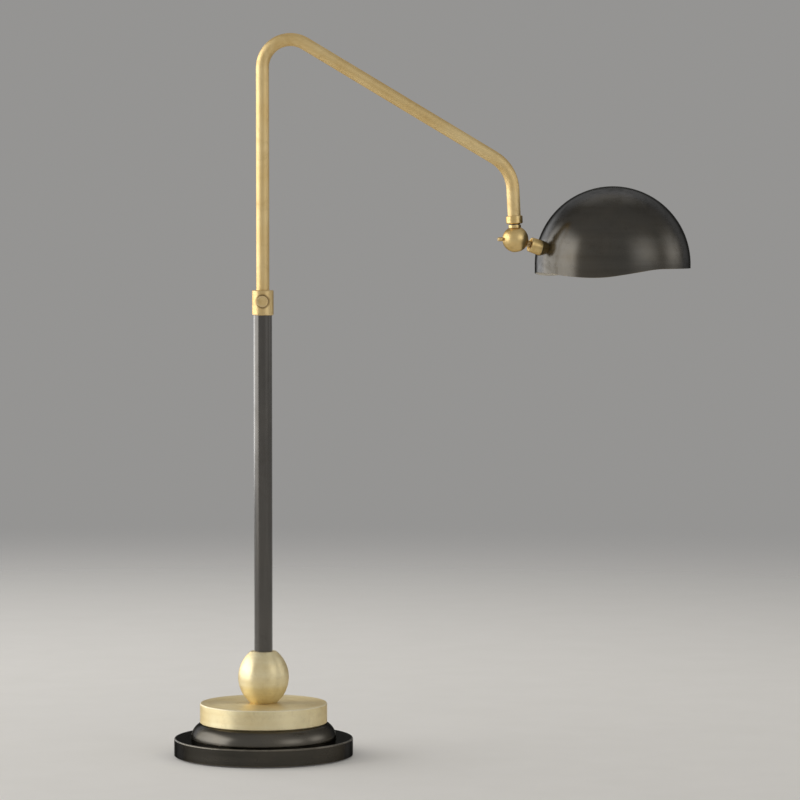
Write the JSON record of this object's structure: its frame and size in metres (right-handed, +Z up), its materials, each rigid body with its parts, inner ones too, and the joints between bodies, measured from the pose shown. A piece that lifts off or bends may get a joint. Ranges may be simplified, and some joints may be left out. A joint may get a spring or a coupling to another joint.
{
  "type": "task lamp",
  "caption": "Task lamp with a weighted round base, an upright stem, a bent brass arm that slides and swings, and a dome shade on a ball joint that swivels and tilts.",
  "frame": {"origin": "centre of the felt pad's lower face, on the floor under the stem", "axes": "+Z up along the stem, +X along the arm towards the shade, -Y towards the viewer and the thumb screw"},
  "size_m": [0.5201, 0.1969, 0.7245],
  "materials": {
    "bronze": "satin dark bronze",
    "brass": "satin brushed",
    "steel": "zinc plated",
    "iron": "as cast",
    "nylon": "matt",
    "felt": "felt",
    "phenolic": "moulded black",
    "opal": "opal"
  },
  "bodies": {
    "base": {"felt_pad": "felt", "bottom_plate": "steel", "plate_screws": "steel", "foot": "bronze", "base_weight": "iron", "pipe_nut": "steel", "pipe_washer": "steel", "lamp_pipe": "steel", "cord_gland": "phenolic", "moulding": "bronze", "plinth": "brass", "knop": "brass", "stem_plug": "steel", "stem_tube": "bronze", "collar": "brass", "collar_liner": "nylon"},
    "clamp_pad": {"clamp_pad": "nylon"},
    "thumb_screw": {"thumb_shank": "steel", "thumb_knob": "brass"},
    "guide": {"guide_bush": "nylon"},
    "arm": {"guide_rings": "steel", "arm_tube": "brass", "arm_ferrule": "brass", "swivel_washer": "nylon"},
    "ball": {"swivel_spindle": "brass", "spindle_nut": "steel", "ball_housing": "brass", "ball_cap": "brass", "pivot_screw": "steel", "tilt_washers": "nylon"},
    "tilt_lock": {"tilt_lock_screw": "brass"},
    "head": {"tilt_drum": "brass", "shade_nipple": "brass", "shade_cup": "brass", "shade": "bronze", "saddle_washer": "steel", "shade_nut": "steel", "holder_bracket": "steel", "holder_screws": "steel", "lampholder": "phenolic", "holder_contact": "brass", "bulb_cap": "brass", "bulb_glass": "opal"},
    "switch_key": {"switch_key": "phenolic"}
  },
  "joints": [
    {"name": "height_slide", "type": "slide", "parent": "base", "child": "guide", "axis": [0, 0, 1], "range_m": [-0.19, 0.05]},
    {"name": "arm_swing", "type": "hinge", "parent": "guide", "child": "arm", "pos_m": [0, 0, 0.457], "axis": [0, 0, 1], "range_deg": [-170, 170]},
    {"name": "head_swivel", "type": "hinge", "parent": "arm", "child": "ball", "pos_m": [0.25272, 0, 0.51898], "axis": [-0.0523, 0, 0.9986], "range_deg": [-166, 134]},
    {"name": "head_tilt", "type": "hinge", "parent": "ball", "child": "head", "pos_m": [0.25272, 0, 0.51898], "axis": [-0.2756, 0.9613, 0], "range_deg": [-25, 60]},
    {"name": "clamp_slide", "type": "slide", "parent": "base", "child": "clamp_pad", "axis": [0, -1, 0], "range_m": [0, 0.0007]},
    {"name": "thumb_turn", "type": "hinge", "parent": "clamp_pad", "child": "thumb_screw", "pos_m": [0, -0.012, 0.457], "axis": [0, -1, 0], "range_deg": [0, 360]},
    {"name": "tilt_lock_turn", "type": "hinge", "parent": "ball", "child": "tilt_lock", "pos_m": [0.25272, 0, 0.51898], "axis": [-0.9613, -0.2756, 0], "range_deg": [0, 90]},
    {"name": "switch_turn", "type": "hinge", "parent": "head", "child": "switch_key", "pos_m": [0.32087, 0.01954, 0.52562], "axis": [0.2756, -0.9613, 0], "range_deg": [0, 90]}
  ],
  "couplings": [
    {"joint": "thumb_turn", "follows": "clamp_slide", "rad_per_m": 8976}
  ]
}
